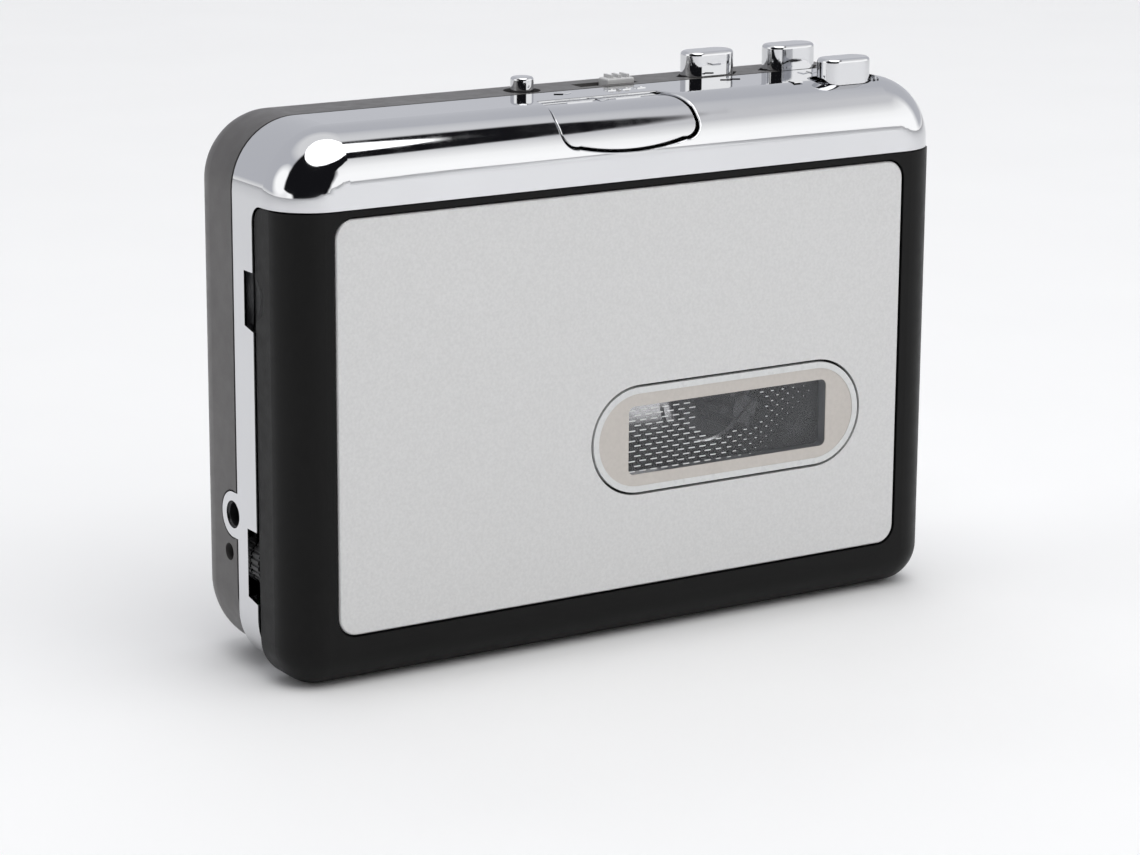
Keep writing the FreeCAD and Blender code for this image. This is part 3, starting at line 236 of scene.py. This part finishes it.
def clear_window(name):
    """Clear smoked plastic: mostly see-through, with the surface's own gloss over it."""
    look = Look(name, (0.50, 0.51, 0.53), 0.06)
    look.gloss(look.noise(0.4), 0.04, 0.09)
    look.bump(look.noise(0.05, 1.0), 0.01)
    see = look.tree.nodes.new("ShaderNodeBsdfTransparent")
    see.inputs["Color"].default_value = (0.965, 0.965, 0.97, 1.0)
    edge = look.tree.nodes.new("ShaderNodeFresnel")
    edge.inputs["IOR"].default_value = 1.5
    share = look.ramp(edge.outputs[0], [(0.0, 0.06), (1.0, 1.0)])
    both = look.tree.nodes.new("ShaderNodeMixShader")
    look.join(share, both.inputs[0])
    look.join(see.outputs[0], both.inputs[1])
    look.join(look.shader.outputs[0], both.inputs[2])
    look.join(both.outputs[0], look.output.inputs[0])
    return look.material


def make_materials():
    """One material for each of the record's slots."""
    return {
        "chrome": plated("chrome", (0.655, 0.66, 0.675)),
        "silver_plastic": moulded("silver_plastic", (0.60, 0.60, 0.60), 0.35),
        "grey_plastic": moulded("grey_plastic", (0.085, 0.081, 0.080), 0.42),
        "black_plastic": moulded("black_plastic", (0.006, 0.006, 0.006), 0.40, specular=0.14),
        "silver_plate": lacquered("silver_plate", (0.67, 0.67, 0.67)),
        "white_plastic": printed("white_plastic", (0.70, 0.71, 0.71), 0.3),
        "beige_print": printed("beige_print", (0.58, 0.545, 0.51)),
        "clear_lens": clear_window("clear_lens"),
        "steel": drawn_metal("steel", (0.56, 0.56, 0.57), 0.3),
        "deck_steel": drawn_metal("deck_steel", (0.86, 0.86, 0.86), 0.16),
        "brass": drawn_metal("brass", (0.72, 0.52, 0.24), 0.28, (3.0, 0.3, 3.0)),
        "motor_can": drawn_metal("motor_can", (0.60, 0.60, 0.61), 0.32, (3.0, 0.3, 3.0)),
        "head_metal": drawn_metal("head_metal", (0.68, 0.68, 0.70), 0.16),
        "deck_plastic": moulded("deck_plastic", (0.016, 0.016, 0.017), 0.4),
        "knob_plastic": moulded("knob_plastic", (0.012, 0.012, 0.012), 0.45),
        "spindle_plastic": moulded("spindle_plastic", (0.10, 0.10, 0.105), 0.38),
        "rubber": soft_rubber("rubber"),
        "board": circuit_board("board", (0.02, 0.11, 0.04)),
        "chip_plastic": moulded("chip_plastic", (0.02, 0.02, 0.022), 0.5),
        "cell_wrap": battery_wrap("cell_wrap", (0.03, 0.06, 0.16)),
    }


MATERIALS = make_materials()
for subpart in RECORD["subparts"]:
    mesh = NODES[subpart["node"]].data
    mesh.materials.clear()
    mesh.materials.append(MATERIALS[subpart["material_slot"]])


# ---- fine pieces --------------------------------------------------------------------------
def add_piece(name, points, faces, slot, body):
    """New piece from points in millimetres, with a record slot's material, riding on a body."""
    mesh = bpy.data.meshes.new(name)
    mesh.from_pydata([[c * MM for c in p] for p in points], [], faces)
    mesh.validate()
    mesh.update()
    piece = bpy.data.objects.new(name, mesh)
    bpy.context.scene.collection.objects.link(piece)
    mesh.materials.append(MATERIALS[slot])
    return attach(piece, body)


def raised(outlines, place, low, high, slope=0.06):
    """Points and faces of flat shapes with sloped sides; place turns (a, b, height) into x, y, z."""
    points = []
    faces = []
    for outline in outlines:
        count = len(outline)
        middle = (sum(p[0] for p in outline) / count, sum(p[1] for p in outline) / count)
        first = len(points)
        points += [place(a, b, low) for a, b in outline]
        for a, b in outline:
            away = math.hypot(a - middle[0], b - middle[1])
            share = 1 - slope / away
            points.append(place(middle[0] + (a - middle[0]) * share,
                                middle[1] + (b - middle[1]) * share, high))
        faces.append([first + i for i in reversed(range(count))])
        faces.append([first + count + i for i in range(count)])
        for i in range(count):
            j = (i + 1) % count
            faces.append([first + i, first + j, first + count + j, first + count + i])
    return points, faces


def pill(x, z, half_width, half_height):
    """Outline of a small rounded bar."""
    steps = 4
    radius = min(half_width, half_height)
    outline = []
    for corner, (sx, sz) in enumerate(((1, 1), (-1, 1), (-1, -1), (1, -1))):
        for i in range(steps):
            angle = math.pi / 2 * (corner + (i + 0.5) / steps)
            outline.append((x + sx * (half_width - radius) + radius * math.cos(angle),
                            z + sz * (half_height - radius) + radius * math.sin(angle)))
    return outline


def window_print():
    """White dashes printed on the lens, in staggered rows that shrink to dots and leave the reel clear."""
    clear_spots = ((16.6, 34.6, 5.5), (21.6, 32.6, 2.7))   # x, z, radius
    low, high = (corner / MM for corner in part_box("window_lens"))
    column = 1.95
    row = 0.78
    shift = 0.35
    outlines = []
    rows = int((high.z - low.z) / row)
    for i in range(rows):
        z = low.z + row * (i + 0.6)
        up = i / (rows - 1)
        fade_start = 0.38 + 0.04 * up
        fade_end = 0.68 + 0.26 * up
        x = low.x + 0.3 + column * (0.5 if i % 2 else 0.0)
        while x < high.x - 0.4:
            along = (x - low.x) / (high.x - low.x)
            size = 1 - min(1.0, max(0.0, (along - fade_start) / (fade_end - fade_start)))
            covers = any(math.hypot(x + shift - cx, z - cz) < radius
                         for cx, cz, radius in clear_spots)
            if size > 0.02 and not covers:
                outlines.append(pill(x + shift, z, max(0.055, 0.58 * size), 0.05 + 0.04 * size))
            x += column
    back = low.y - 0.005        # just clear of the lens' face
    front = low.y - 0.03
    points, faces = raised(outlines, lambda a, b, h: (a, h, b), back, front, slope=0.01)
    return add_piece("window_print", points, faces, "white_plastic", "door")


window_print()


def triangle(x, y, size, way):
    """Outline of a pointer whose tip looks along X."""
    half = size / 2
    corners = [(x - way * half, y - half), (x + way * half, y), (x - way * half, y + half)]
    return corners if way > 0 else corners[::-1]


def bar(x, y, length, width):
    """Outline of a plain bar along X."""
    return [(x - length / 2, y - width / 2), (x + length / 2, y - width / 2),
            (x + length / 2, y + width / 2), (x - length / 2, y + width / 2)]


def signs():
    """Raised symbols on the cap and on the play key: pointers, a square and bars."""
    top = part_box("chrome_frame")[1].z / MM
    key_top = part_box("play_key")[1].z / MM
    rise = 0.12
    sunk = 0.01
    on_cap = [triangle(25.2, -1.2, 1.6, -1), triangle(26.8, -1.2, 1.6, -1),
              triangle(39.9, -1.6, 1.6, 1), triangle(41.5, -1.6, 1.6, 1),
              bar(33.2, -8.6, 1.6, 1.6), triangle(-4.4, -0.8, 1.3, -1), triangle(-2.6, -0.8, 1.3, 1)]
    for y in (-1.0, -1.9):
        on_cap += [bar(4.4 + 2.6 * i, y, 1.5, 0.35) for i in range(3)]
    points, faces = raised(on_cap, lambda a, b, h: (a, b, h), top - sunk, top + rise)
    add_piece("cap_signs", points, faces, "chrome", "chassis")
    on_key = [triangle(0.0, -6.6, 1.9, 1), bar(-4.2, -6.6, 4.4, 0.4), bar(4.2, -6.6, 4.4, 0.4)]
    points, faces = raised(on_key, lambda a, b, h: (a, b, h), key_top - sunk, key_top + rise)
    add_piece("play_sign", points, faces, "chrome", "play")


signs()


def coil(name, start, axis, length, radii, wire, turns, slot, body):
    """Round-wire spring along an axis, with a closed turn at each end, as a mesh."""
    steps = 24
    dead = 1.0
    total = int(steps * (turns + 2 * dead))
    curve = bpy.data.curves.new(name, "CURVE")
    curve.dimensions = "3D"
    curve.bevel_depth = wire / 2 * MM
    curve.bevel_resolution = 3
    spline = curve.splines.new("POLY")
    spline.points.add(total)
    along = Vector(axis)
    side = along.orthogonal().normalized()
    other = along.cross(side)
    free = length - wire * (1 + 2 * dead)
    for i in range(total + 1):
        turn = i / steps
        active = min(max(turn - dead, 0.0), turns)
        rise = wire / 2 + wire * (min(turn, dead) + max(0.0, turn - dead - turns)) + free * active / turns
        radius = radii[0] + (radii[1] - radii[0]) * rise / length
        angle = 2 * math.pi * turn
        spot = Vector(start) + along * rise + (side * math.cos(angle) + other * math.sin(angle)) * radius
        spline.points[i].co = (*(spot * MM), 1.0)
    holder = bpy.data.objects.new(name + "_curve", curve)
    bpy.context.scene.collection.objects.link(holder)
    bpy.context.view_layer.update()
    mesh = bpy.data.meshes.new_from_object(holder.evaluated_get(bpy.context.evaluated_depsgraph_get()))
    bpy.data.objects.remove(holder)
    mesh.materials.clear()
    mesh.materials.append(MATERIALS[slot])
    mesh.shade_smooth()
    piece = bpy.data.objects.new(name, mesh)
    bpy.context.scene.collection.objects.link(piece)
    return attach(piece, body)


def key_springs():
    """Helical return springs in place of the plain tubes."""
    wire = 0.45
    for key in ("stop", "rewind", "fast_forward"):
        low, high = (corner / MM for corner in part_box(key + "_spring"))
        middle = (low + high) / 2
        length = high.z - low.z
        radius = (high.x - low.x) / 2 - wire / 2
        foot = (middle.x, middle.y, low.z)
        spring = coil(key + "_coil", foot, (0, 0, 1), length, (radius, radius), wire, 3.0,
                      "steel", "chassis")
        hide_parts(key + "_spring")
        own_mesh(spring)


key_springs()


def battery_spring():
    """Tapered spring at the negative end of the battery bay."""
    low, high = (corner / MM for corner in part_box("contact_spring"))
    middle = (low + high) / 2
    wide = (high.z - low.z) / 2
    wire = 0.5
    spring = coil("contact_coil", (low.x, middle.y, middle.z), (1, 0, 0), high.x - low.x,
                  (wide - wire / 2, wide * 0.62), wire, 1.5, "steel", "chassis")
    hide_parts("contact_spring")


battery_spring()


# ---- studio -------------------------------------------------------------------------------
def floor():
    """Pale seamless floor."""
    size = 6.0
    mesh = bpy.data.meshes.new("floor")
    mesh.from_pydata([(-size, -size, 0), (size, -size, 0), (size, size, 0), (-size, size, 0)], [],
                     [(0, 1, 2, 3)])
    plane = bpy.data.objects.new("floor", mesh)
    bpy.context.scene.collection.objects.link(plane)
    look = Look("floor", (0.90, 0.90, 0.90), 0.7, specular=0.2)
    look.mottle(look.noise(0.02), 0.006)
    mesh.materials.append(look.material)


def softbox(name, place, aim, width, height, radiance, mirrored=True):
    """Oval soft light that faces a point; radiance is how bright its face is."""
    light = bpy.data.lights.new(name, "AREA")
    light.shape = "ELLIPSE"
    light.size = width
    light.size_y = height
    light.energy = radiance * math.pi * (math.pi / 4 * width * height)    # of an oval face
    holder = bpy.data.objects.new(name, light)
    holder.location = place
    holder.rotation_euler = (Vector(aim) - Vector(place)).to_track_quat("-Z", "Y").to_euler()
    holder.visible_glossy = mirrored
    bpy.context.scene.collection.objects.link(holder)


def floor_pool(name, x, y, height, radius, power):
    """Soft round pool of light on the floor, from a lamp straight above it that chrome doesn't mirror."""
    light = bpy.data.lights.new(name, "SPOT")
    light.energy = power
    light.spot_size = 2 * math.atan(radius / height)
    light.spot_blend = 0.5
    light.shadow_soft_size = 0.1
    holder = bpy.data.objects.new(name, light)
    holder.location = (x, y, height)
    holder.visible_glossy = False
    bpy.context.scene.collection.objects.link(holder)


def surroundings():
    """Pale room with a bright panel to the left, a dark canopy ahead and a dark patch round the camera."""
    world = bpy.data.worlds.new("room")
    bpy.context.scene.world = world
    world.use_nodes = True
    tree = world.node_tree
    back = tree.nodes["Background"]
    place = tree.nodes.new("ShaderNodeTexCoord")
    split = tree.nodes.new("ShaderNodeSeparateXYZ")
    tree.links.new(place.outputs["Generated"], split.inputs[0])

    def ramp(source, stops):
        node = tree.nodes.new("ShaderNodeValToRGB")
        while len(node.color_ramp.elements) < len(stops):
            node.color_ramp.elements.new(0.5)
        for item, (spot, grey) in zip(node.color_ramp.elements, stops):
            item.position = spot
            item.color = (grey[0], grey[1], grey[2], 1.0)
        tree.links.new(source, node.inputs[0])
        return node.outputs[0]

    def towards(direction):
        node = tree.nodes.new("ShaderNodeVectorMath")
        node.operation = "DOT_PRODUCT"
        node.inputs[1].default_value = Vector(direction).normalized()
        tree.links.new(place.outputs["Generated"], node.inputs[0])
        return node.outputs["Value"]

    def product(first, second):
        node = tree.nodes.new("ShaderNodeMath")
        node.operation = "MULTIPLY"
        tree.links.new(first, node.inputs[0])
        tree.links.new(second, node.inputs[1])
        return node.outputs[0]

    def flat(colour):
        node = tree.nodes.new("ShaderNodeRGB")
        node.outputs[0].default_value = (*colour, 1.0)
        return node.outputs[0]

    def mix(share, first, second):
        node = tree.nodes.new("ShaderNodeMix")
        node.data_type = "RGBA"
        tree.links.new(share, node.inputs["Factor"])
        tree.links.new(first, node.inputs[6])
        tree.links.new(second, node.inputs[7])
        return node.outputs[2]

    wall = (0.62, 0.63, 0.67)
    dark = (0.010, 0.010, 0.012)
    height = split.outputs["Z"]
    rear = ramp(height, [(0.0, (1.0, 1.0, 1.0)), (0.05, wall), (0.78, wall), (0.90, (0.95, 0.95, 0.96))])
    front = ramp(height, [(0.0, (1.42, 1.42, 1.41)), (0.20, (1.42, 1.42, 1.41)),
                          (0.40, (1.32, 1.32, 1.31)), (0.56, (1.05, 1.05, 1.05)), (0.68, (0.8, 0.8, 0.82))])
    room = mix(ramp(towards((0, -1, 0)), [(0.0, (0, 0, 0)), (0.25, (1, 1, 1))]), rear, front)
    panel = flat((1.45, 1.45, 1.44))    # bright panel to the left
    room = mix(ramp(towards((-0.96, 0.12, 0.34)), [(0.90, (0, 0, 0)), (0.97, (1, 1, 1))]), room, panel)
    canopy = ramp(towards((-0.45, -0.34, 1.0)), [(0.545, (0, 0, 0)), (0.558, (1, 1, 1))])
    ahead = ramp(towards((0, -1, 0)), [(0.0, (0, 0, 0)), (0.07, (1, 1, 1))])
    room = mix(product(canopy, ahead), room, flat(dark))
    night = ramp(height, [(0.0, dark), (0.80, dark), (0.90, wall)])
    room = mix(ramp(towards((-0.45, -0.85, 0.28)), [(0.74, (0, 0, 0)), (0.80, (1, 1, 1))]), room, night)
    tree.links.new(room, back.inputs["Color"])


def camera():
    """Camera half a metre away to the front left, a little above the player, with a long lens."""
    place = Vector((-0.27654, -0.43999, 0.16089))
    target = Vector((-0.01067, -0.0149, 0.0339))
    roll = math.radians(0.33)
    data = bpy.data.cameras.new("camera")
    data.sensor_width = 36.0
    data.lens = 111.29
    data.clip_start = 0.01
    holder = bpy.data.objects.new("camera", data)
    holder.matrix_world = (Matrix.Translation(place)
                           @ (target - place).to_track_quat("-Z", "Y").to_matrix().to_4x4()
                           @ Matrix.Rotation(roll, 4, "Z"))
    bpy.context.scene.collection.objects.link(holder)
    bpy.context.scene.camera = holder


floor()
softbox("overhead", (0.0, -0.52, 1.52), (0.0, 0.0, 0.0), 1.66, 1.66, 2.35)
softbox("key", (0.15, -1.0, 0.95), (0.0, 0.0, 0.03), 0.7, 0.5, 1.0, mirrored=False)
softbox("back_floor", (0.7, 1.9, 1.6), (0.6, 1.5, 0.0), 2.2, 1.6, 1.2, mirrored=False)
floor_pool("pool_front", 0.25, -0.52, 1.1, 0.42, 5.0)
surroundings()
camera()
bpy.context.scene.view_settings.view_transform = "Standard"
